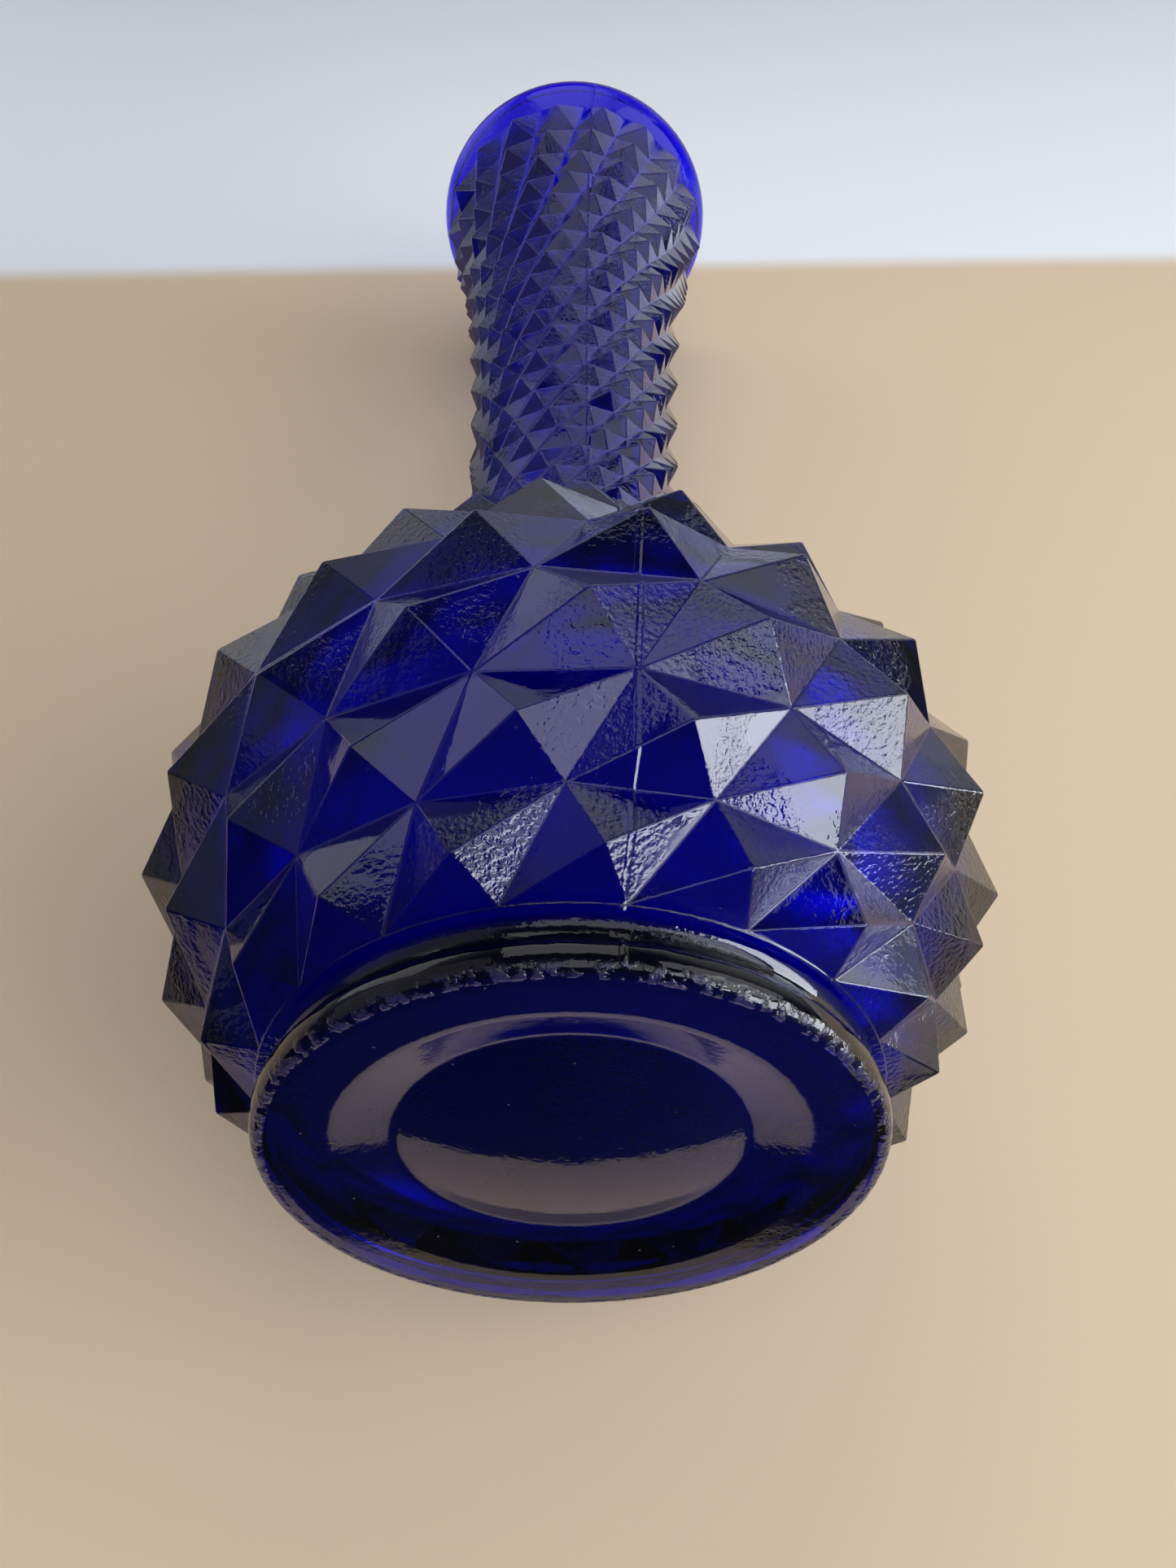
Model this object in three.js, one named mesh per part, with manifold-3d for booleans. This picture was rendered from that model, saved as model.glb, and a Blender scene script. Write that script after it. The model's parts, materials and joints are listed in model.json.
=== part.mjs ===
// A vase of pressed glass in one piece: a round foot, a wide belly and a long neck that flares to the lip.
// Pyramids cover it in rings, and each ring is turned against the one below, so the columns twist round it.
// Millimetres, +Z up. The vase lies on its side, on two points of its belly and on its lip, with the foot
// towards -Y. The origin is on the surface that it lies on, under the middle of its box.
import * as THREE from "three";
import { mergeVertices } from "three/addons/utils/BufferGeometryUtils.js";
import Module from "manifold-3d";

const wasm = await Module();
wasm.setup();

// Outer form, along the valleys between the pyramids. Heights count from the plane the foot stands on.
const height = 260;
const collarHeight = 6.8;
const collarRadius = 32.7;
const bellyHeight = 36;
const bellyRadius = 46.7;
const neckHeight = 120;
const neckRadius = 16.7;
const mouthRadius = 31.9;
const bandHeight = 7.6; // the plain band under the lip
const bandFlare = 3.4; // how much wider it gets on its way up

// How the outline runs between those sizes: [share of the height, share of the radius].
const lowerBellyShares = [[0.35, 0.53]];
const shoulderShares = [[0.226, 0.16], [0.405, 0.48], [0.571, 0.803], [0.762, 0.96]];
const flareShares = [[0.227, 0.06], [0.604, 0.347], [0.869, 0.73]];

// The lattice. Each list runs evenly from the foot to the lip.
const columnCount = 18;
const rowCount = 30;
const cellShares = [0.85, 0.77, 0.93, 0.94, 1.23, 1.21, 1.15, 1.14, 1.17]; // height of a cell over its width
const twistShares = [0.57, 0.4, 0.32, 0.37, 0.65, 0.57, 0.63, 0.47, 0.45, 0.43, 0.38, 0.23, 0.23]; // columns a row
const pyramidShare = 0.35; // height of a pyramid over the mean side of its cell
const settlePasses = 12;

// The wall, and the cavity inside it.
const bellyWall = 5;
const neckWall = 3.2;
const lipWall = 3.4;
const floorThickness = 6.9; // over the hollow's deepest ring
const floorRadius = 26;

// The foot: a rounded flange that stands on a flat ring, and a groove between it and the belly.
const footRadius = 32.2;
const footHeight = 3.2;
const widestShare = 0.69; // height of the flange's widest ring, as a share of the flange's
const footRounding = 1.5;
const bearingWidth = 1.2;
const grooveDepth = 1.8;
const collarDrop = 0.2; // how far the belly's plain edge reaches down past the lattice

// The hollow under the foot: a slight slope in from the flat ring, a steeper one up to the hollow's deepest
// ring, and from there a boss that comes down again towards the middle.
const shelfRadius = 24.6;
const shelfHeight = 0.6;
const bossRadius = 18.2;
const hollowHeight = 3.1;
const bossHeight = 1.2; // of its middle

const roundSegments = 54;
const curveSteps = 5;
const cavitySteps = 26;
const seatDepth = 3; // how far the foot and the band reach into the patterned wall
const seatShare = 0.85; // their radius in there, as a share of the wall's
const overrun = 2;

const glass = new THREE.MeshStandardMaterial({ color: 0x150a8c, roughness: 0.08, metalness: 0 });

const columnAngle = (2 * Math.PI) / columnCount;
const bandFoot = height - bandHeight;
const bandRadius = mouthRadius - bandFlare;
const lipRounding = lipWall / 2;
const floorHeight = hollowHeight + floorThickness;
const outline = outerOutline();
const rings = latticeRings();
const tips = rings.slice(1).map((_, row) => rowTip(row));
const restingRow = tips.findIndex(({ radius }) => radius === Math.max(...tips.map((tip) => tip.radius)));

// A point on the way from one [height, radius] to another, by its shares of the two differences.
function between(from, to, [heightShare, radiusShare]) {
  return [from[0] + heightShare * (to[0] - from[0]), from[1] + radiusShare * (to[1] - from[1])];
}

// The valleys' outline from the collar to the band, as a spline of (radius, height).
function outerOutline() {
  const collar = [collarHeight, collarRadius];
  const belly = [bellyHeight, bellyRadius];
  const neck = [neckHeight, neckRadius];
  const band = [bandFoot, bandRadius];
  const places = [
    collar,
    ...lowerBellyShares.map((shares) => between(collar, belly, shares)),
    belly,
    ...shoulderShares.map((shares) => between(belly, neck, shares)),
    neck,
    ...flareShares.map((shares) => between(neck, band, shares)),
    band,
  ];
  return new THREE.SplineCurve(places.map(([z, radius]) => new THREE.Vector2(radius, z)));
}

// The value of an even list at a share of the way along it.
function alongShares(shares, share) {
  const place = share * (shares.length - 1);
  const first = Math.min(Math.floor(place), shares.length - 2);
  return THREE.MathUtils.lerp(shares[first], shares[first + 1], place - first);
}

// Every ring of corners: its height, radius and turn. A row's height follows its width, so the spacing
// settles over a few passes, and the turns add up from the foot.
function latticeRings() {
  let shares = Array.from({ length: rowCount + 1 }, (_, i) => i / rowCount);
  for (let pass = 0; pass < settlePasses; pass++) {
    const sums = [0];
    for (let row = 0; row < rowCount; row++) {
      const middle = (shares[row] + shares[row + 1]) / 2;
      const radius = (outline.getPointAt(shares[row]).x + outline.getPointAt(shares[row + 1]).x) / 2;
      sums.push(sums[row] + alongShares(cellShares, middle) * radius);
    }
    shares = sums.map((sum) => sum / sums[rowCount]);
  }
  let turn = 0;
  return shares.map((share, i) => {
    if (i > 0) turn += columnAngle * alongShares(twistShares, (share + shares[i - 1]) / 2);
    const { x: radius, y: z } = outline.getPointAt(share);
    return { z, radius, turn };
  });
}

// The tip of a row's pyramids: square to the wall over the middle of the cell.
function rowTip(row) {
  const [low, high] = [rings[row], rings[row + 1]];
  const rise = high.z - low.z;
  const spread = high.radius - low.radius;
  const slant = Math.hypot(rise, spread);
  const width = (low.radius + high.radius) * Math.sin(columnAngle / 2);
  const tall = (pyramidShare * (slant + width)) / 2;
  const halfSkew = (high.turn - low.turn) / 2;
  const middle = ((low.radius + high.radius) / 2) * Math.cos(columnAngle / 2) * Math.cos(halfSkew);
  return {
    z: (low.z + high.z) / 2 - (tall * spread) / slant,
    radius: middle + (tall * rise) / slant,
    turn: (low.turn + high.turn + columnAngle) / 2,
  };
}

// A triangle mesh as a solid, with its shared vertices merged and the slivers at a pole left out.
function toSolid(geometry) {
  geometry.deleteAttribute("normal");
  geometry.deleteAttribute("uv");
  const merged = mergeVertices(geometry);
  const index = merged.index.array;
  const corners = [];
  for (let i = 0; i < index.length; i += 3) {
    const [a, b, c] = index.slice(i, i + 3);
    if (a !== b && b !== c && c !== a) corners.push(a, b, c);
  }
  const vertProperties = new Float32Array(merged.attributes.position.array);
  return new wasm.Manifold(new wasm.Mesh({ numProp: 3, vertProperties, triVerts: new Uint32Array(corners) }));
}

function toGeometry(solid) {
  const { vertProperties, triVerts } = solid.getMesh();
  const geometry = new THREE.BufferGeometry();
  geometry.setAttribute("position", new THREE.BufferAttribute(vertProperties, 3));
  geometry.setIndex(new THREE.BufferAttribute(triVerts, 1));
  return geometry;
}

// A solid of revolution from points of (radius, height) that leave the axis and come back to it.
function revolve(points) {
  return toSolid(new THREE.LatheGeometry(points, roundSegments).rotateX(Math.PI / 2));
}

// The mean radius of a ring whose corners lie at this one, for a round part that meets it.
function roundTo(cornerRadius) {
  return (cornerRadius * (1 + Math.cos(columnAngle / 2))) / 2;
}

// The patterned wall, solid inside: four faces on each cell, and a flat cap at each end.
function latticeSolid() {
  const positions = [];
  const index = [];
  const addPoint = (z, radius, angle) => {
    positions.push(radius * Math.cos(angle), radius * Math.sin(angle), z);
    return positions.length / 3 - 1;
  };
  const start = -tips[restingRow].turn; // puts this row's tips at whole columns from +X
  const corners = rings.map(({ z, radius, turn }) =>
    Array.from({ length: columnCount }, (_, i) => addPoint(z, radius, start + turn + i * columnAngle)),
  );
  for (let row = 0; row < rowCount; row++) {
    const tip = tips[row];
    for (let column = 0; column < columnCount; column++) {
      const next = (column + 1) % columnCount;
      const cell = [corners[row][column], corners[row][next], corners[row + 1][next], corners[row + 1][column]];
      const apex = addPoint(tip.z, tip.radius, start + tip.turn + column * columnAngle);
      cell.forEach((corner, i) => index.push(corner, cell[(i + 1) % cell.length], apex));
    }
  }
  const bottom = addPoint(rings[0].z, 0, 0);
  const top = addPoint(rings[rowCount].z, 0, 0);
  for (let column = 0; column < columnCount; column++) {
    const next = (column + 1) % columnCount;
    index.push(bottom, corners[0][next], corners[0][column]);
    index.push(top, corners[rowCount][column], corners[rowCount][next]);
  }
  const geometry = new THREE.BufferGeometry();
  geometry.setAttribute("position", new THREE.Float32BufferAttribute(positions, 3));
  geometry.setIndex(index);
  return toSolid(geometry);
}

// The foot with its hollow underside, up to a seat inside the patterned wall.
function footSolid() {
  const bearingRadius = footRadius - footRounding;
  const innerEdge = bearingRadius - bearingWidth;
  const grooveRadius = footRadius - grooveDepth;
  const collarFoot = collarHeight - collarDrop;
  const grooveHeight = (footHeight + collarFoot) / 2;
  const path = new THREE.Path();
  path.moveTo(0, bossHeight);
  path.quadraticCurveTo(bossRadius / 2, bossHeight, bossRadius, hollowHeight);
  path.lineTo(shelfRadius, shelfHeight);
  path.lineTo(innerEdge, 0);
  path.lineTo(bearingRadius, 0);
  path.quadraticCurveTo(footRadius, 0, footRadius, footHeight * widestShare);
  path.quadraticCurveTo(footRadius, footHeight, footRadius - grooveDepth / 2, footHeight);
  path.quadraticCurveTo(grooveRadius, footHeight, grooveRadius, grooveHeight);
  path.quadraticCurveTo(grooveRadius, collarFoot, roundTo(collarRadius), collarFoot);
  path.lineTo(roundTo(collarRadius), collarHeight);
  path.lineTo(collarRadius * seatShare, collarHeight + seatDepth);
  path.lineTo(0, collarHeight + seatDepth);
  return revolve(path.getPoints(curveSteps));
}

// The plain band above the lattice, and the rounded lip.
function bandSolid() {
  const lipHeight = height - lipRounding;
  const path = new THREE.Path();
  path.moveTo(0, bandFoot - seatDepth);
  path.lineTo(bandRadius * seatShare, bandFoot - seatDepth);
  path.lineTo(roundTo(bandRadius), bandFoot);
  path.quadraticCurveTo(mouthRadius, (bandFoot + height) / 2, mouthRadius, lipHeight);
  path.absarc(mouthRadius - lipRounding, lipHeight, lipRounding, 0, Math.PI, false);
  path.lineTo(0, lipHeight);
  return revolve(path.getPoints(curveSteps));
}

// The wall's thickness, measured level, where the outline has this radius.
function wallAt(radius) {
  return THREE.MathUtils.mapLinear(radius, neckRadius, bellyRadius, neckWall, bellyWall);
}

// The smooth cavity: a flat floor, then the outline less the wall, and straight out through the mouth.
function cavitySolid() {
  const innerRadius = mouthRadius - lipWall;
  const inner = outline.points.slice(1).map(({ x: radius, y: z }) => new THREE.Vector2(radius - wallAt(radius), z));
  const wall = new THREE.SplineCurve([...inner, new THREE.Vector2(innerRadius, height - lipRounding)]);
  const path = new THREE.Path();
  path.moveTo(0, floorHeight);
  path.lineTo(floorRadius, floorHeight);
  path.quadraticCurveTo((floorRadius + inner[0].x) / 2, floorHeight, inner[0].x, inner[0].y);
  const points = [...path.getPoints(curveSteps), ...wall.getSpacedPoints(cavitySteps).slice(1)];
  points.push(new THREE.Vector2(innerRadius, height + overrun), new THREE.Vector2(0, height + overrun));
  return revolve(points);
}

// How far the axis dips towards the mouth: the vase lies on two of its widest tips, and on whatever stands out
// furthest beyond them, which is the lip.
function restingTilt() {
  const belly = tips[restingRow];
  const reach = belly.radius * Math.cos(columnAngle / 2);
  const beyond = [...tips.slice(restingRow + 1), { z: height - lipRounding, radius: mouthRadius }];
  return Math.min(...beyond.map(({ z, radius }) => Math.atan2(reach - radius, z - belly.z)));
}

// Lays a standing mesh down with its lip towards +Y, and sets it on the origin's level.
function layDown(mesh) {
  mesh.rotation.x = -(Math.PI / 2 + restingTilt());
  const box = new THREE.Box3().setFromObject(mesh, true);
  const middle = box.getCenter(new THREE.Vector3());
  mesh.position.set(-middle.x, -middle.y, -box.min.z);
}

const solid = latticeSolid().add(footSolid()).add(bandSolid()).subtract(cavitySolid());
const vase = new THREE.Mesh(toGeometry(solid), glass);
vase.name = "pressed_glass_vase";
layDown(vase);

const model = new THREE.Group();
model.add(vase);

export default model;
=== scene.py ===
# A vase of cobalt-blue pressed glass, lying on its side on a pale table and seen from its foot.
import json
import math
import bmesh
import bpy
from mathutils import Euler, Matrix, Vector


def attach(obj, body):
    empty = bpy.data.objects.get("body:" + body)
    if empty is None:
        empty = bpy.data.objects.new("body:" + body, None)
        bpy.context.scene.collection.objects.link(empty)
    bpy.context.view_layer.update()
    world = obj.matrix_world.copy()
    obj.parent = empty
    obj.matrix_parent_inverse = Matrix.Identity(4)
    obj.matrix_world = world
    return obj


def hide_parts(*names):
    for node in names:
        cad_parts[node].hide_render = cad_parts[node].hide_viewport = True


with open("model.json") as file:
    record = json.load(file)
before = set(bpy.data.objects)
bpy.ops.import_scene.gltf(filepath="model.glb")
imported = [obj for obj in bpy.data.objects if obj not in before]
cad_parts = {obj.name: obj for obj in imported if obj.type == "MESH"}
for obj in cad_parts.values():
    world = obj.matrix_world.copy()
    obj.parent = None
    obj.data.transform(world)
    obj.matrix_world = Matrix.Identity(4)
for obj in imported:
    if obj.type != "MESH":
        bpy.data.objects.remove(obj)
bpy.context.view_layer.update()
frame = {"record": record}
mm = 0.001

# v is always the dictionary of the thing that the function makes


def linearColor(hexValue):
    # sRGB hex to the linear values that Blender's sockets take
    parts = [int(hexValue[i:i + 2], 16) / 255 for i in (1, 3, 5)]
    return [p / 12.92 if p <= 0.04045 else ((p + 0.055) / 1.055) ** 2.4 for p in parts] + [1.0]


def addNode(tree, kind, settings=None):
    # settings: properties of the node, and sockets by name or number, with a value or with what feeds them:
    # an output, or a node that stands for its first output
    node = tree.nodes.new(kind)
    for key, value in (settings or {}).items():
        if isinstance(value, bpy.types.Node):
            value = value.outputs[0]
        if isinstance(key, str) and hasattr(node, key):
            setattr(node, key, value)
        elif isinstance(value, bpy.types.NodeSocket):
            tree.links.new(value, node.inputs[key])
        else:
            node.inputs[key].default_value = value
    return node


def emptyTree(owner):
    owner.use_nodes = True
    owner.node_tree.nodes.clear()
    return owner.node_tree


# Camera
cameraView = {
    "place": (2.6, -185.7, 171.9),  # mm
    "turn": (41.957, 0.636, -0.413),  # degrees
    "focal": 28.96,  # mm
    "pictureSide": 36,  # mm: the long side of the picture
    "nearest": 5,  # mm
}


def addCamera(v):
    bpy.ops.object.camera_add(
        location=[p * mm for p in v["place"]],
        rotation=[math.radians(t) for t in v["turn"]],
    )
    camera = bpy.context.object
    camera.name = "viewCamera"
    camera.data.lens = v["focal"]
    camera.data.sensor_width = v["pictureSide"]
    camera.data.clip_start = v["nearest"] * mm
    bpy.context.scene.camera = camera


addCamera(cameraView)
print("camera done")


# Light: softboxes where the facets mirror them, and a dim room with a pale far end
lightRig = {
    "aim": (0, 0, 50),  # mm
    # bearing (0 is +Y, 90 is +X) and lift in degrees, sizes in mm; a softbox of level 1 looks white
    "softboxes": {
        "window": {
            "bearing": 119, "lift": 6, "away": 1000, "width": 1250, "height": 420,
            "level": 10.5, "color": "#F1F6FF",
        },
        "windowTop": {
            "bearing": 118, "lift": 34, "away": 1000, "width": 900, "height": 450,
            "level": 2.6, "color": "#F4F8FF",
        },
        "rightWall": {
            "bearing": 86, "lift": 38, "away": 1100, "width": 450, "height": 900,
            "level": 1.3, "color": "#F8FAFF",
        },
        "behindTop": {
            "bearing": 165, "lift": 56, "away": 1000, "width": 800, "height": 800,
            "level": 1.2, "color": "#F8FAFF",
        },
        "overNeck": {
            "bearing": 0, "lift": 65, "away": 390, "width": 300, "height": 280,
            "level": 0.95, "color": "#FFFFFF",
        },
        "farLeft": {
            "bearing": -52, "lift": 20, "away": 600, "width": 380, "height": 400,
            "level": 0.7, "color": "#FFFFFF",
        },
        "leftWall": {
            "bearing": -102, "lift": 38, "away": 1000, "width": 1200, "height": 1150,
            "level": 0.2, "color": "#FFFFFF",
        },
    },
    "backdrop": "#DCE1E9",  # what the camera sees behind everything
    "room": "#5C6070",
    "roomStrength": 0.45,
    "farEnd": "#F2F5FA",
    "farStrength": 0.8,
    # the parts of a direction at which the far end starts and is full, and its least share
    "farEndFades": {"Y": (0.2, 0.7, 0), "Z": (0.75, 0.5, 0), "X": (-0.4, 0.3, 0.45)},
}


def addSoftbox(name, v, aim):
    bearing, lift = math.radians(v["bearing"]), math.radians(v["lift"])
    flat = math.cos(lift)
    way = Vector((math.sin(bearing) * flat, math.cos(bearing) * flat, math.sin(lift)))
    bpy.ops.object.light_add(type="AREA", location=Vector(aim) * mm + way * v["away"] * mm)
    lamp = bpy.context.object
    lamp.name = name
    lamp.rotation_euler = way.to_track_quat("Z", "Y").to_euler()
    lamp.data.shape = "RECTANGLE"
    lamp.data.size = v["width"] * mm
    lamp.data.size_y = v["height"] * mm
    lamp.data.energy = v["level"] * math.pi * lamp.data.size * lamp.data.size_y
    lamp.data.color = linearColor(v["color"])[:3]


def addRoom(v):
    world = bpy.data.worlds.new("softRoom")
    bpy.context.scene.world = world
    tree = emptyTree(world)
    place = addNode(tree, "ShaderNodeTexCoord")
    way = addNode(tree, "ShaderNodeSeparateXYZ", {"Vector": place.outputs["Generated"]})
    share = 1
    for axis, (start, full, least) in v["farEndFades"].items():
        fade = addNode(tree, "ShaderNodeMapRange", {
            "interpolation_type": "SMOOTHSTEP", "Value": way.outputs[axis],
            "From Min": start, "From Max": full, "To Min": least})
        share = addNode(tree, "ShaderNodeMath", {"operation": "MULTIPLY", 0: share, 1: fade})
    # a Mix node of colors takes them at 6 and 7, and gives the result at 2
    tone = addNode(tree, "ShaderNodeMix", {
        "data_type": "RGBA", 0: share, 6: linearColor(v["room"]), 7: linearColor(v["farEnd"])})
    strength = addNode(tree, "ShaderNodeMapRange", {
        "Value": share, "To Min": v["roomStrength"], "To Max": v["farStrength"]})
    glow = addNode(tree, "ShaderNodeBackground", {"Color": tone.outputs[2], "Strength": strength})
    # seen straight from the camera, the room is a plain pale backdrop
    backdrop = addNode(tree, "ShaderNodeBackground", {"Color": linearColor(v["backdrop"])})
    ray = addNode(tree, "ShaderNodeLightPath")
    shown = addNode(tree, "ShaderNodeMixShader", {0: ray.outputs["Is Camera Ray"], 1: glow, 2: backdrop})
    addNode(tree, "ShaderNodeOutputWorld", {"Surface": shown})


for name, softbox in lightRig["softboxes"].items():
    addSoftbox(name + "Softbox", softbox, lightRig["aim"])
addRoom(lightRig)
bpy.context.scene.view_settings.view_transform = "Standard"
print("light done")


# Table: a pale warm board with a white sheet beyond it
tableTop = {
    "halfSize": 3000,  # mm, like all lengths here
    "board": "#E6CEAC",
    "sheet": "#F7FAFD",
    "roughness": 0.7,
    "edge": 171,  # towards the mouth, where the board ends and the sheet starts
    "edgeBlur": 6,
    "sheetGlow": 0.04,
    "nearEdge": -161,  # on this side of it the board is painted near-black for glossy rays only: a painted reflection of a dim floor below the table's edge
    # colour of the painted reflection that the glass shows beyond the near edge
    "paintedReflectionColor": "#1B1A1C",
    "fadeFrom": 500,  # from the middle, where the table starts to fade into the backdrop
    "fadeTo": 1300,
}


def tableMaterial(v, backdrop):
    # matt painted board: no pattern, only soft changes of tone; beyond its near edge a painted reflection,
    # near-black for glossy rays only
    material = bpy.data.materials.new("mattPaintedBoard")
    tree = emptyTree(material)
    place = addNode(tree, "ShaderNodeTexCoord").outputs["Object"]
    along = addNode(tree, "ShaderNodeSeparateXYZ", {"Vector": place}).outputs["Y"]
    ray = addNode(tree, "ShaderNodeLightPath")
    onSheet = addNode(tree, "ShaderNodeMapRange", {
        "interpolation_type": "SMOOTHSTEP", "Value": along,
        "From Min": (v["edge"] - v["edgeBlur"]) * mm, "From Max": (v["edge"] + v["edgeBlur"]) * mm})
    tone = addNode(tree, "ShaderNodeMix", {
        "data_type": "RGBA", 0: onSheet, 6: linearColor(v["board"]), 7: linearColor(v["sheet"])})
    # painted reflection: beyond the near edge only glossy rays see the board near-black, while camera and
    # diffuse rays see it pale
    near = addNode(tree, "ShaderNodeMath", {"operation": "LESS_THAN", 0: along, 1: v["nearEdge"] * mm})
    paintedReflection = addNode(tree, "ShaderNodeMath", {
        "operation": "MULTIPLY", 0: near, 1: ray.outputs["Is Glossy Ray"]})
    boardWithPaintedReflection = addNode(tree, "ShaderNodeMix", {
        "data_type": "RGBA", 0: paintedReflection, 6: tone.outputs[2], 7: linearColor(v["paintedReflectionColor"])})
    glow = addNode(tree, "ShaderNodeMath", {"operation": "MULTIPLY", 0: onSheet, 1: v["sheetGlow"]})
    paint = addNode(tree, "ShaderNodeBsdfPrincipled", {
        "Base Color": boardWithPaintedReflection.outputs[2], "Roughness": v["roughness"],
        "Emission Color": linearColor(v["sheet"]), "Emission Strength": glow})
    # seen straight from the camera, the table fades into the backdrop far from the vase
    away = addNode(tree, "ShaderNodeVectorMath", {"operation": "LENGTH", 0: place})
    fade = addNode(tree, "ShaderNodeMapRange", {
        "interpolation_type": "SMOOTHSTEP", "Value": away.outputs["Value"],
        "From Min": v["fadeFrom"] * mm, "From Max": v["fadeTo"] * mm})
    direct = addNode(tree, "ShaderNodeMath", {
        "operation": "MULTIPLY", 0: fade, 1: ray.outputs["Is Camera Ray"]})
    plain = addNode(tree, "ShaderNodeEmission", {"Color": linearColor(backdrop)})
    shown = addNode(tree, "ShaderNodeMixShader", {0: direct, 1: paint, 2: plain})
    addNode(tree, "ShaderNodeOutputMaterial", {"Surface": shown})
    return material


def addTable(v, backdrop):
    bpy.ops.mesh.primitive_plane_add(size=2 * v["halfSize"] * mm, location=(0, 0, 0))
    table = bpy.context.object
    table.name = "table_top"
    table.data.materials.append(tableMaterial(v, backdrop))


addTable(tableTop, lightRig["backdrop"])
print("table done")


# Vase, upright in its own frame: heights from the plane that the foot stands on, in mm
vase = {
    "columns": 18,
    "rows": 30,
    # valleys between the pyramids, from the collar over the foot to the band under the lip: (height, radius)
    "outline": [
        (6.8, 32.7), (17, 40.1), (36, 46.7), (55, 41.9), (70, 32.3), (84, 22.6), (100, 17.9),
        (120, 16.7), (150, 17.4), (200, 20.8), (235, 25.3), (252.4, 28.5),
    ],
    # evenly from foot to lip: height of a cell over its width, and how many columns a row is turned by
    "cellShares": [0.85, 0.77, 0.93, 0.94, 1.23, 1.21, 1.15, 1.14, 1.17],
    "twistShares": [0.57, 0.4, 0.32, 0.37, 0.65, 0.57, 0.63, 0.47, 0.45, 0.43, 0.38, 0.23, 0.23],
    "settleRounds": 12,  # how often the rows' heights are worked out again from their widths
    "pyramidShare": 0.35,  # height of a pyramid over the mean of its cell's slant and width
    "ridge": 0.24,  # taken off each side of a ridge or valley
    "ridgeSteps": 2,
    "ridgeAngle": 10,  # degrees: a weaker bend isn't a ridge
    "roundCuts": 3,  # cuts in each column's share of the round foot and lip
    "height": 260,
    "mouth": 31.9,
    "bandSteps": 7,
    "lipWall": 3.4,
    "lipSteps": 10,
    "bellyWall": 5,
    "neckWall": 3.2,
    "wallSteps": 70,
    "insideFrom": 9,  # the cavity lies above this height
    "floorHeight": 10,
    "floorRadius": 26,
    "floorSteps": 8,
    "floorRings": (0.75, 0.5, 0.25, 0.02),  # of the floor's radius
    "foot": {
        "radius": 32.2, "height": 3.2, "widest": 2.2, "rounding": 1.5, "standingWidth": 1.2,
        "grooveDepth": 1.8, "collarDrop": 0.2,
        "shelfRadius": 24.6, "shelfHeight": 0.6,
        "bossRadius": 18.2, "hollowHeight": 3.1, "bossHeight": 1.2, "bossMiddle": 0.6,
        "crease": 0.7,  # how far the bends under the foot reach
        "creaseStart": 0.3,  # how far before the hollow the standing ring may bend
        "grooveSteps": 6, "flangeTopSteps": 5, "flangeSteps": 7, "bossSteps": 14, "creaseSteps": 6,
    },
    # bearing in degrees round from +X, lowest height of its crest, and how far its cuts look for faces
    "seam": {"bearing": 279, "width": 0.8, "height": 0.22, "lowest": 0.5, "cutReach": 12},
    "flatness": 100,  # how much more large faces count than small ones for the shading
}

# distances that count as none, in metres
tiny = {"height": 1e-5, "plane": 2e-6, "point": 1e-6, "cut": 1e-7}


def splineAt(points, place):
    # uniform Catmull-Rom through the points; place runs from 0 to 1
    last = len(points) - 1
    first = min(int(place * last), last - 1)
    share = place * last - first
    a, b, c, d = (Vector(points[min(max(first + k, 0), last)]) for k in (-1, 0, 1, 2))
    return 0.5 * (2 * b + (c - a) * share + (2 * a - 5 * b + 4 * c - d) * share ** 2
                  + (3 * b - a - 3 * c + d) * share ** 3)


def alongArc(points, shares, steps=900):
    # points of the spline at these shares of its length
    line = [splineAt(points, i / steps) for i in range(steps + 1)]
    length = [0]
    for i in range(steps):
        length.append(length[-1] + (line[i + 1] - line[i]).length)
    found = []
    i = 0
    for share in shares:
        want = share * length[-1]
        while i < steps - 1 and length[i + 1] < want:
            i += 1
        part = (want - length[i]) / (length[i + 1] - length[i])
        found.append(line[i].lerp(line[i + 1], part))
    return found


def evenShare(values, share):
    # the value at this share of an evenly spaced list
    place = share * (len(values) - 1)
    first = min(int(place), len(values) - 2)
    return values[first] + (place - first) * (values[first + 1] - values[first])


def latticeRings(v):
    # each ring of corners as (height, radius, turn); a row's height follows its width
    shares = [i / v["rows"] for i in range(v["rows"] + 1)]
    for settling in range(v["settleRounds"]):
        ring = alongArc(v["outline"], shares)
        sums = [0]
        for i in range(v["rows"]):
            middle = (shares[i] + shares[i + 1]) / 2
            sums.append(sums[-1] + evenShare(v["cellShares"], middle) * (ring[i].y + ring[i + 1].y) / 2)
        shares = [s / sums[-1] for s in sums]
    ring = alongArc(v["outline"], shares)
    column = 2 * math.pi / v["columns"]
    rings = [(ring[0].x, ring[0].y, 0)]
    for i in range(1, v["rows"] + 1):
        turn = rings[-1][2] + column * evenShare(v["twistShares"], (shares[i] + shares[i - 1]) / 2)
        rings.append((ring[i].x, ring[i].y, turn))
    return rings


def pyramidHeight(v, low, high):
    slant = math.hypot(high[0] - low[0], high[1] - low[1])
    width = (low[1] + high[1]) * math.sin(math.pi / v["columns"])
    return v["pyramidShare"] * (slant + width) / 2


def bend(start, corner, end, steps):
    # points of a quadratic curve after its start
    points = []
    for i in range(1, steps + 1):
        t = i / steps
        points.append([(1 - t) ** 2 * a + 2 * t * (1 - t) * b + t * t * c
                       for a, b, c in zip(start, corner, end)])
    return points


def softCorner(before, corner, after, reach, steps):
    # the corner of a profile, rounded from this far before it to this far after it
    ends = []
    for end in (before, after):
        way = Vector(end) - Vector(corner)
        ends.append(Vector(corner) + way.normalized() * min(reach, way.length / 2))
    return [list(ends[0])] + bend(ends[0], corner, ends[1], steps)


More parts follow.
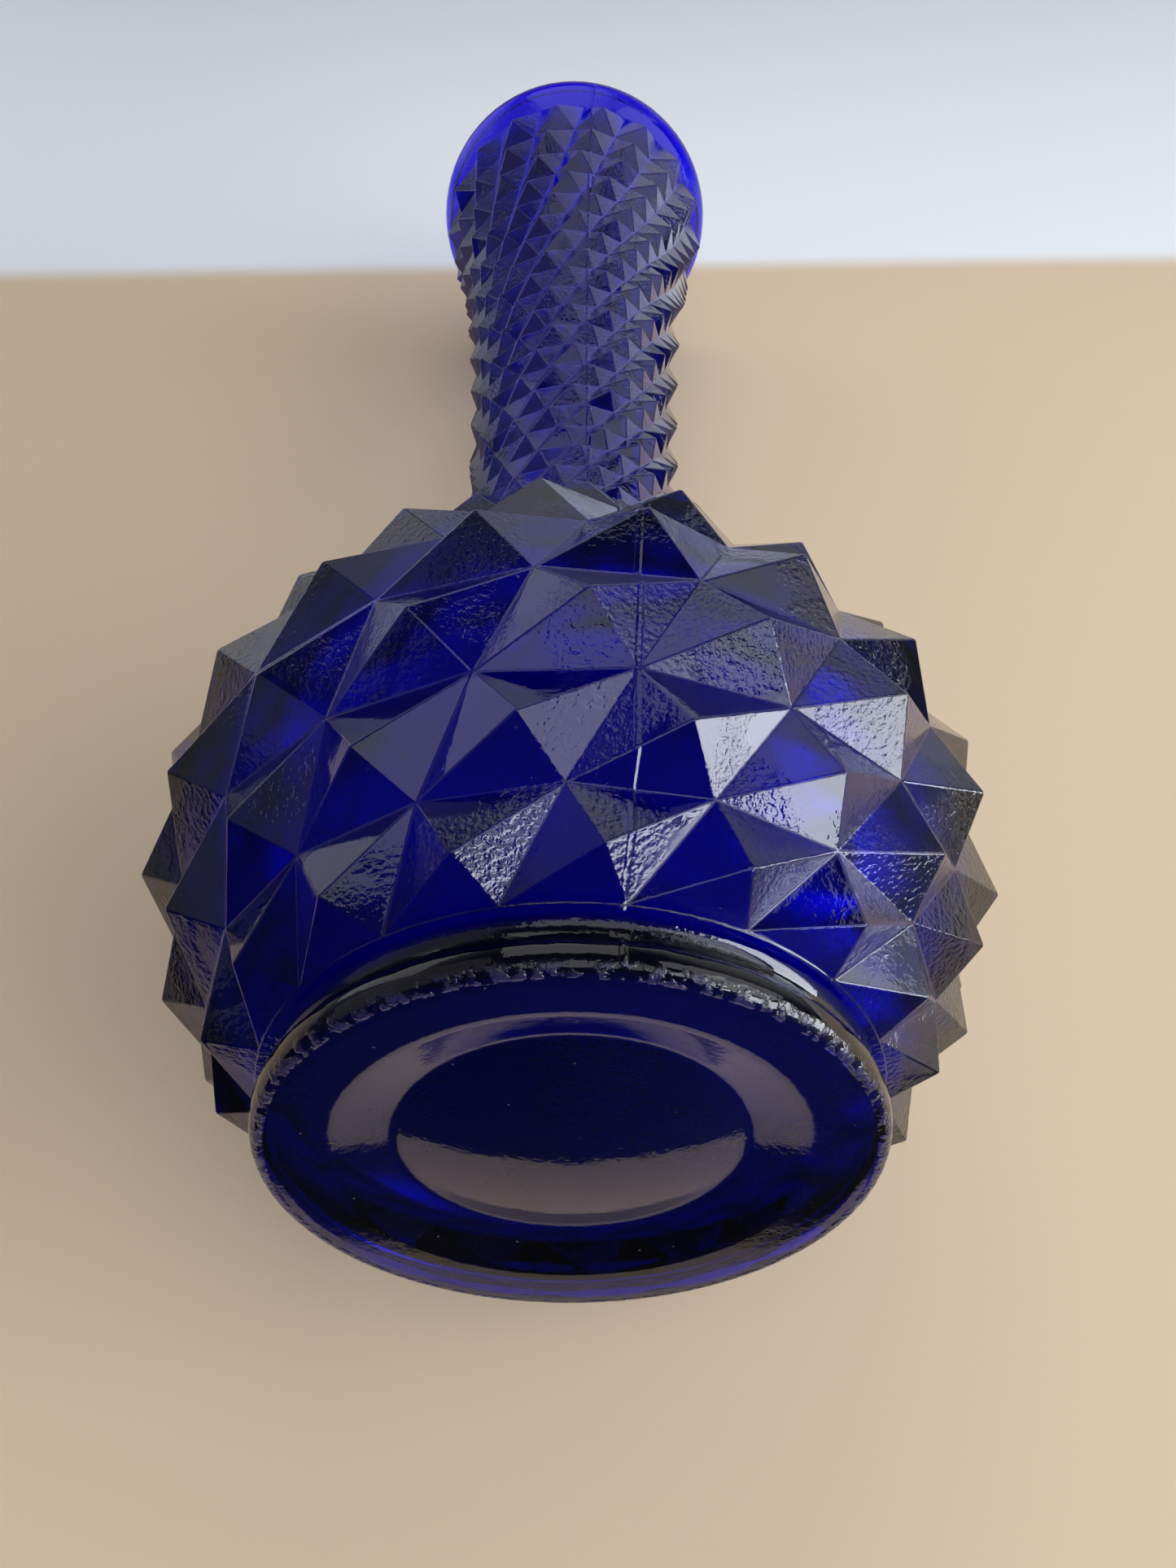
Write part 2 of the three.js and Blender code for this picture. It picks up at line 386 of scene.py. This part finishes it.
def footPath(foot, collarRadius, collarHeight):
    # (height, radius) from the collar down round the flange, and in under the foot to the middle
    collarFoot = collarHeight - foot["collarDrop"]
    groove = foot["radius"] - foot["grooveDepth"]
    grooveHeight = (foot["height"] + collarFoot) / 2
    flangeEdge = foot["radius"] - foot["grooveDepth"] / 2
    standingOuter = foot["radius"] - foot["rounding"]
    standingInner = standingOuter - foot["standingWidth"]
    path = [[collarFoot, collarRadius]]
    path += bend(path[-1], (collarFoot, groove), (grooveHeight, groove), foot["grooveSteps"])
    path += bend(path[-1], (foot["height"], groove), (foot["height"], flangeEdge), foot["grooveSteps"])
    path += bend(path[-1], (foot["height"], foot["radius"]), (foot["widest"], foot["radius"]),
                 foot["flangeTopSteps"])
    path += bend(path[-1], (0, foot["radius"]), (0, standingOuter), foot["flangeSteps"])
    corners = [
        (0, standingInner),
        (foot["shelfHeight"], foot["shelfRadius"]),
        (foot["hollowHeight"], foot["bossRadius"]),
    ]
    boss = bend(corners[-1], (foot["bossHeight"], foot["bossRadius"] / 2),
                (foot["bossHeight"], foot["bossMiddle"]), foot["bossSteps"])
    path += [[0, standingInner + foot["creaseStart"]]]
    for before, corner, after in zip([path[-1]] + corners, corners, corners[1:] + boss[:1]):
        path += softCorner(before, corner, after, foot["crease"], foot["creaseSteps"])
    return path + boss[1:]


def lipPath(v, start):
    # (height, radius) from the lattice up the plain band and round the lip to the inner wall
    rounding = v["lipWall"] / 2
    lipHeight = v["height"] - rounding
    middle = v["mouth"] - rounding
    path = bend(start, ((start[0] + v["height"]) / 2, v["mouth"]), (lipHeight, v["mouth"]), v["bandSteps"])
    for i in range(1, v["lipSteps"] + 1):
        angle = math.pi * i / v["lipSteps"]
        path.append([lipHeight + rounding * math.sin(angle), middle + rounding * math.cos(angle)])
    return path


def cavityPath(v):
    # (height, radius) of the smooth inner wall, from the lip down to the middle of the floor
    radii = [radius for height, radius in v["outline"]]
    thin, thick = min(radii), max(radii)
    inner = []
    for height, radius in v["outline"][1:]:
        wall = v["neckWall"] + (v["bellyWall"] - v["neckWall"]) * (radius - thin) / (thick - thin)
        inner.append((height, radius - wall))
    inner.append((v["height"] - v["lipWall"] / 2, v["mouth"] - v["lipWall"]))
    upwards = alongArc(inner, [i / v["wallSteps"] for i in range(v["wallSteps"] + 1)])
    path = [[p.x, p.y] for p in reversed(upwards)][1:]
    path += bend(path[-1], (v["floorHeight"], (v["floorRadius"] + inner[0][1]) / 2),
                 (v["floorHeight"], v["floorRadius"]), v["floorSteps"])
    path += [[v["floorHeight"], v["floorRadius"] * share] for share in v["floorRings"]]
    return path


def outerRadius(height, v):
    # of the valleys, in metres like the height
    places = v["outline"]
    for (lowHeight, lowRadius), (highHeight, highRadius) in zip(places, places[1:]):
        if height <= highHeight * mm:
            break
    share = min(max((height / mm - lowHeight) / (highHeight - lowHeight), 0), 1)
    return (lowRadius + share * (highRadius - lowRadius)) * mm


def isOuter(co, v):
    # on the outside, from the standing ring of the foot up to the lip: less than half a wall in
    return math.hypot(co.x, co.y) > outerRadius(co.z, v) - v["neckWall"] / 2 * mm


def editMesh(piece):
    return bmesh.from_edit_mesh(piece.data)


def pick(piece, kind, test):
    # selects the vertices, edges or faces that pass the test, and nothing else
    bpy.ops.mesh.select_mode(type=kind)
    bpy.ops.mesh.select_all(action="DESELECT")
    mesh = editMesh(piece)
    for item in {"VERT": mesh.verts, "EDGE": mesh.edges, "FACE": mesh.faces}[kind]:
        if test(item):
            item.select = True
    mesh.select_flush_mode()
    bmesh.update_edit_mesh(piece.data)


def faceOutwards(piece):
    bpy.ops.mesh.select_all(action="SELECT")
    bpy.ops.mesh.normals_make_consistent(inside=False)
    outermost = max(editMesh(piece).faces, key=lambda face: math.hypot(*face.calc_center_median().xy))
    if outermost.normal.xy.dot(outermost.calc_center_median().xy) < 0:
        bpy.ops.mesh.flip_normals()


def loopRadius(piece):
    picked = [vert.co for vert in editMesh(piece).verts if vert.select]
    return sum(math.hypot(co.x, co.y) for co in picked) / len(picked)


def drawRing(piece, height, radius):
    # extrudes the picked ring to this height and radius
    picked = [vert.co for vert in editMesh(piece).verts if vert.select]
    lift = height * mm - picked[0].z
    scale = radius * mm / loopRadius(piece)
    bpy.ops.mesh.extrude_edges_move(TRANSFORM_OT_translate={"value": (0, 0, lift)})
    bpy.ops.transform.resize(value=(scale, scale, 1), center_override=(0, 0, 0))


def closeAlong(piece, path):
    # draws the picked ring along the path and closes its last ring in the middle
    for height, radius in path:
        drawRing(piece, height, radius)
    bpy.ops.mesh.merge(type="CENTER")


def ringAngle(piece):
    # bearing of the picked vertex nearest to +X, within one column either way
    verts = editMesh(piece).verts
    return min((math.atan2(vert.co.y, vert.co.x) for vert in verts if vert.select), key=abs)


def buildLattice(v, rings):
    column = 2 * math.pi / v["columns"]
    slipLimit = 1e-3
    bpy.ops.mesh.primitive_circle_add(vertices=v["columns"], radius=rings[0][1] * mm,
                                      location=(0, 0, rings[0][0] * mm), fill_type="NOTHING")
    piece = bpy.context.object
    piece.name = "vase_glass"
    bpy.ops.object.transform_apply(location=True, rotation=True, scale=True)
    bpy.ops.object.mode_set(mode="EDIT")
    bpy.ops.mesh.select_mode(type="EDGE")
    bpy.ops.mesh.select_all(action="SELECT")
    for i in range(1, len(rings)):
        drawRing(piece, rings[i][0], rings[i][1])
        before = ringAngle(piece)
        turn = rings[i][2] - rings[i - 1][2]
        bpy.ops.transform.rotate(value=-turn, orient_axis="Z", center_override=(0, 0, 0))
        if i == 1:
            # the first ring shows which way round the operator turns
            slip = (ringAngle(piece) - before - turn + column / 2) % column - column / 2
            assert abs(slip) < slipLimit, slip
    faceOutwards(piece)
    for low, high in zip(rings, rings[1:]):
        middle = (low[0] + high[0]) / 2 * mm
        pick(piece, "FACE", lambda face: len(face.verts) == 4
             and abs(face.calc_center_median().z - middle) < tiny["height"])
        bpy.ops.mesh.poke(offset=pyramidHeight(v, low, high) * mm, use_relative_offset=False,
                          center_mode="MEDIAN")
    return piece


def roundRing(piece, height, cuts):
    # cuts the open ring at this height finer and draws it to a circle
    pick(piece, "EDGE", lambda edge: edge.is_boundary
         and all(abs(vert.co.z - height * mm) < tiny["height"] for vert in edge.verts))
    bpy.ops.mesh.subdivide(number_cuts=cuts, quadcorner="FAN")
    bpy.ops.transform.tosphere(value=1.0)


def roundRidges(piece, v, bottomHeight, topHeight):
    # ridges, valleys and the two end rings of the lattice
    lowest, highest = bottomHeight * mm - tiny["height"], topHeight * mm + tiny["height"]

    def isRidge(edge):
        onLattice = all(lowest <= vert.co.z <= highest and isOuter(vert.co, v) for vert in edge.verts)
        return (onLattice and len(edge.link_faces) == 2
                and edge.calc_face_angle() > math.radians(v["ridgeAngle"]))

    pick(piece, "EDGE", isRidge)
    bpy.ops.mesh.bevel(offset=v["ridge"] * mm, offset_type="OFFSET", segments=v["ridgeSteps"],
                       profile=0.5, affect="EDGES", clamp_overlap=True)
    bpy.ops.mesh.select_all(action="SELECT")
    bpy.ops.mesh.remove_doubles(threshold=tiny["point"])
    faceOutwards(piece)


def addSeam(piece, v):
    # the line that the two halves of the mould leave, on both sides of the outside
    seam = v["seam"]
    bearing = math.radians(seam["bearing"])
    across = Vector((-math.sin(bearing), math.cos(bearing), 0))
    half = seam["width"] / 2 * mm
    lowest, highest = seam["lowest"] * mm, (v["height"] - v["lipWall"] / 2) * mm
    for side in (-half, 0, half):
        pick(piece, "FACE", lambda face: all(isOuter(vert.co, v) for vert in face.verts)
             and min(abs(vert.co.dot(across)) for vert in face.verts) < seam["cutReach"] * mm)
        bpy.ops.mesh.bisect(plane_co=across * side, plane_no=across, threshold=tiny["cut"])
    pick(piece, "VERT", lambda vert: abs(vert.co.dot(across)) < tiny["plane"] and isOuter(vert.co, v)
         and lowest < vert.co.z < highest)
    bpy.ops.transform.shrink_fatten(value=seam["height"] * mm)
    raised = sum(vert.select for vert in editMesh(piece).verts)
    # its two feet stay crisp
    pick(piece, "EDGE", lambda edge: all(
        abs(abs(vert.co.dot(across)) - half) < tiny["plane"] and isOuter(vert.co, v) for vert in edge.verts))
    bpy.ops.mesh.mark_sharp()
    print("seam:", raised, "points")


def tipTurn(v, rings):
    # how far round the widest row's tips are; the circle of the first ring starts at +Y
    column = 2 * math.pi / v["columns"]
    widths = [low[1] + high[1] + 2 * pyramidHeight(v, low, high) for low, high in zip(rings, rings[1:])]
    widest = widths.index(max(widths))
    return (rings[widest][2] + rings[widest + 1][2] + column) / 2 + math.pi / 2


def markInside(piece, v):
    # 1 on the smooth inner wall, for the material
    inside = piece.data.attributes.new("insideWall", "FLOAT", "POINT")
    for vert in piece.data.vertices:
        if vert.co.z > v["insideFrom"] * mm and not isOuter(vert.co, v):
            inside.data[vert.index].value = 1


def lyingPlace(foot, mount):
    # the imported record's foot face gives the dip of the axis and the place of the foot
    dip = math.asin(mount["axis"][2])
    standingMiddle = foot["radius"] - foot["rounding"] - foot["standingWidth"] / 2
    laid = Euler((-(math.pi / 2 + dip), 0, 0)).to_matrix()
    return laid, Vector(mount["pos_m"]) - laid @ Vector((0, -standingMiddle * mm, 0))


def flattenShading(piece, weight):
    # facets shade flat up to their rounded ridges
    bpy.ops.object.select_all(action="DESELECT")
    piece.select_set(True)
    bpy.context.view_layer.objects.active = piece
    bpy.ops.object.shade_smooth()
    weighted = piece.modifiers.new("flatFaces", "WEIGHTED_NORMAL")
    weighted.mode = "FACE_AREA"
    weighted.weight = weight
    weighted.keep_sharp = True
    bpy.ops.object.modifier_apply(modifier=weighted.name)


rings = latticeRings(vase)
bottomHeight, topHeight = rings[0][0], rings[-1][0]
piece = buildLattice(vase, rings)
print("lattice done:", len(editMesh(piece).faces), "faces")

roundRing(piece, bottomHeight, vase["roundCuts"])
closeAlong(piece, footPath(vase["foot"], loopRadius(piece) / mm, bottomHeight))
roundRing(piece, topHeight, vase["roundCuts"])
closeAlong(piece, lipPath(vase, (topHeight, loopRadius(piece) / mm)) + cavityPath(vase))
print("foot, lip and cavity done:", len(editMesh(piece).faces), "faces")

roundRidges(piece, vase, bottomHeight, topHeight)
print("ridges rounded:", len(editMesh(piece).faces), "faces")

# turned until the widest row's tips lie at whole columns from +X
bpy.ops.object.mode_set(mode="OBJECT")
piece.rotation_euler = (0, 0, -tipTurn(vase, rings))
bpy.ops.object.transform_apply(location=False, rotation=True, scale=False)
bpy.ops.object.mode_set(mode="EDIT")
addSeam(piece, vase)
bpy.ops.object.mode_set(mode="OBJECT")
markInside(piece, vase)

# laid down
laid, footCentre = lyingPlace(vase["foot"], frame["record"]["mounts"][0])
piece.location = footCentre
piece.rotation_euler = laid.to_euler()
bpy.ops.object.transform_apply(location=True, rotation=True, scale=False)


# Glass: lengths in mm
glass = {
    "ior": 1.52,
    "tint": "#9C8AFF",
    "absorb": "#B400F9",
    "density": 1500,
    "polish": 0.025,  # roughness of the fire-polished outside
    "insideHaze": 0.3,  # roughness of the plunger-pressed inside
    "chalk": "#D4D8E4",  # crushed glass in the scuffs of the foot, and dust
    "chalkClear": 0.3,  # how much light still passes where there is nothing but chalk
    "wave": {"size": 9, "detail": 0, "height": 0.02, "phase": 10.2},  # slow waves of a pressed face
    "ripple": {"size": 2.4, "detail": 1, "height": 0.02},  # chill ripple, left where hot glass met the iron
    # grain of the iron: in the patches, this share of it everywhere, and stronger in the scuffs
    "grain": {"size": 0.6, "detail": 2, "height": 0.085, "everywhere": 0.15, "inScuffs": 2.2},
    # patches of grain: where the slow waves are high, and fading out towards the foot
    "patch": {"start": 0.43, "full": 0.54, "startHeight": 3, "fullHeight": 7, "roughness": 0.03},
    "pits": {"spacing": 2.2, "radius": 0.17, "share": 0.4, "height": 0.08},
    "dust": {"spacing": 3.4, "radius": 0.12, "share": 0.3, "chalk": 0.7},
    # the worn edge under the foot: outside its radius and below its height
    "scuff": {
        "size": 1.3, "detail": 3, "start": 0.45, "full": 0.57,
        "startRadius": 30.4, "fullRadius": 30.8, "startHeight": 1.2, "fullHeight": 0.3,
        "roughness": 0.25, "chalk": 0.15,
    },
}


def glassMaterial(v, turn, place):
    # cobalt glass, pressed hot in iron and fire-polished: coloured through its thickness, glossy and rippled
    material = bpy.data.materials.new("cobaltPressedGlass")
    tree = emptyTree(material)
    # the vase's own frame: foot at the middle, height along Z
    back = turn.transposed()
    own = addNode(tree, "ShaderNodeMapping", {
        "Vector": addNode(tree, "ShaderNodeTexCoord").outputs["Object"],
        "Location": -(back @ place), "Rotation": back.to_euler()})
    height = addNode(tree, "ShaderNodeSeparateXYZ", {"Vector": own}).outputs["Z"]
    flat = addNode(tree, "ShaderNodeVectorMath", {"operation": "MULTIPLY", 0: own, 1: (1, 1, 0)})
    radius = addNode(tree, "ShaderNodeVectorMath", {"operation": "LENGTH", 0: flat}).outputs["Value"]

    patterns = {}
    for name in ("wave", "ripple", "grain", "scuff"):
        noise = addNode(tree, "ShaderNodeTexNoise", {
            "Vector": own, "Scale": 1 / (v[name]["size"] * mm), "Detail": v[name]["detail"]})
        if "phase" in v[name]:
            noise.noise_dimensions = "4D"
            noise.inputs["W"].default_value = v[name]["phase"]
        patterns[name] = noise.outputs["Fac"]
    for name in ("pits", "dust"):
        # round specks, one in the middle of some of the cells
        cells = addNode(tree, "ShaderNodeTexVoronoi", {"Vector": own, "Scale": 1 / (v[name]["spacing"] * mm)})
        speck = addNode(tree, "ShaderNodeMapRange", {
            "interpolation_type": "SMOOTHSTEP", "Value": cells.outputs["Distance"],
            "From Min": v[name]["radius"] / v[name]["spacing"], "From Max": 0})
        chance = addNode(tree, "ShaderNodeSeparateColor", {"Color": cells.outputs["Color"]})
        chosen = addNode(tree, "ShaderNodeMath", {"operation": "LESS_THAN", 0: chance, 1: v[name]["share"]})
        patterns[name] = addNode(tree, "ShaderNodeMath", {"operation": "MULTIPLY", 0: speck, 1: chosen})

    # where things are: each goes smoothly from none at the first value to all at the second
    patch, scuff = v["patch"], v["scuff"]
    fades = {}
    for name, value, start, full in (
        ("waveTops", patterns["wave"], patch["start"], patch["full"]),
        ("aboveFoot", height, patch["startHeight"] * mm, patch["fullHeight"] * mm),
        ("lowest", height, scuff["startHeight"] * mm, scuff["fullHeight"] * mm),
        ("outermost", radius, scuff["startRadius"] * mm, scuff["fullRadius"] * mm),
        ("worn", patterns["scuff"], scuff["start"], scuff["full"]),
    ):
        fades[name] = addNode(tree, "ShaderNodeMapRange", {
            "interpolation_type": "SMOOTHSTEP", "Value": value, "From Min": start, "From Max": full})
    patches = addNode(tree, "ShaderNodeMath", {
        "operation": "MULTIPLY", 0: fades["waveTops"], 1: fades["aboveFoot"]})
    edge = addNode(tree, "ShaderNodeMath", {"operation": "MULTIPLY", 0: fades["lowest"], 1: fades["outermost"]})
    scuffs = addNode(tree, "ShaderNodeMath", {"operation": "MULTIPLY", 0: edge, 1: fades["worn"]})

    # relief: the grain is weighed by where it is, then all are added at their heights
    share = addNode(tree, "ShaderNodeMath", {"operation": "ADD", 0: patches, 1: v["grain"]["everywhere"]})
    share = addNode(tree, "ShaderNodeMath", {
        "operation": "MULTIPLY_ADD", 0: scuffs, 1: v["grain"]["inScuffs"], 2: share})
    patterns["grain"] = addNode(tree, "ShaderNodeMath", {
        "operation": "MULTIPLY", 0: patterns["grain"], 1: share})
    relief = 0
    for name in ("wave", "ripple", "grain", "pits"):
        relief = addNode(tree, "ShaderNodeMath", {
            "operation": "MULTIPLY_ADD", 0: patterns[name], 1: v[name]["height"], 2: relief})
    bump = addNode(tree, "ShaderNodeBump", {"Height": relief, "Strength": 1.0, "Distance": mm})

    onInside = addNode(tree, "ShaderNodeAttribute", {"attribute_name": "insideWall"})
    rough = addNode(tree, "ShaderNodeMapRange", {
        "interpolation_type": "SMOOTHSTEP", "Value": onInside.outputs["Fac"],
        "To Min": v["polish"], "To Max": v["insideHaze"]})
    for mask, spec in ((patches, patch), (scuffs, scuff)):
        rough = addNode(tree, "ShaderNodeMath", {
            "operation": "MULTIPLY_ADD", 0: mask, 1: spec["roughness"], 2: rough})

    crushed = addNode(tree, "ShaderNodeMath", {"operation": "MULTIPLY", 0: scuffs, 1: scuff["chalk"]})
    dusty = addNode(tree, "ShaderNodeMath", {
        "operation": "MULTIPLY", 0: patterns["dust"], 1: v["dust"]["chalk"]})
    chalk = addNode(tree, "ShaderNodeMath", {"operation": "MAXIMUM", 0: crushed, 1: dusty})
    tone = addNode(tree, "ShaderNodeMix", {
        "data_type": "RGBA", 0: chalk, 6: linearColor(v["tint"]), 7: linearColor(v["chalk"])})
    clear = addNode(tree, "ShaderNodeMapRange", {
        "interpolation_type": "SMOOTHSTEP", "Value": chalk, "To Min": 1, "To Max": v["chalkClear"]})
    surface = addNode(tree, "ShaderNodeBsdfPrincipled", {
        "Base Color": tone.outputs[2], "Roughness": rough, "IOR": v["ior"],
        "Transmission Weight": clear, "Normal": bump})
    body = addNode(tree, "ShaderNodeVolumeAbsorption", {
        "Color": linearColor(v["absorb"]), "Density": v["density"]})
    addNode(tree, "ShaderNodeOutputMaterial", {"Surface": surface, "Volume": body})
    return material


piece.data.materials.clear()
piece.data.materials.append(glassMaterial(glass, laid, footCentre))
flattenShading(piece, vase["flatness"])
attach(piece, "root")
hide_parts("pressed_glass_vase")
print("vase done:", len(piece.data.polygons), "faces")
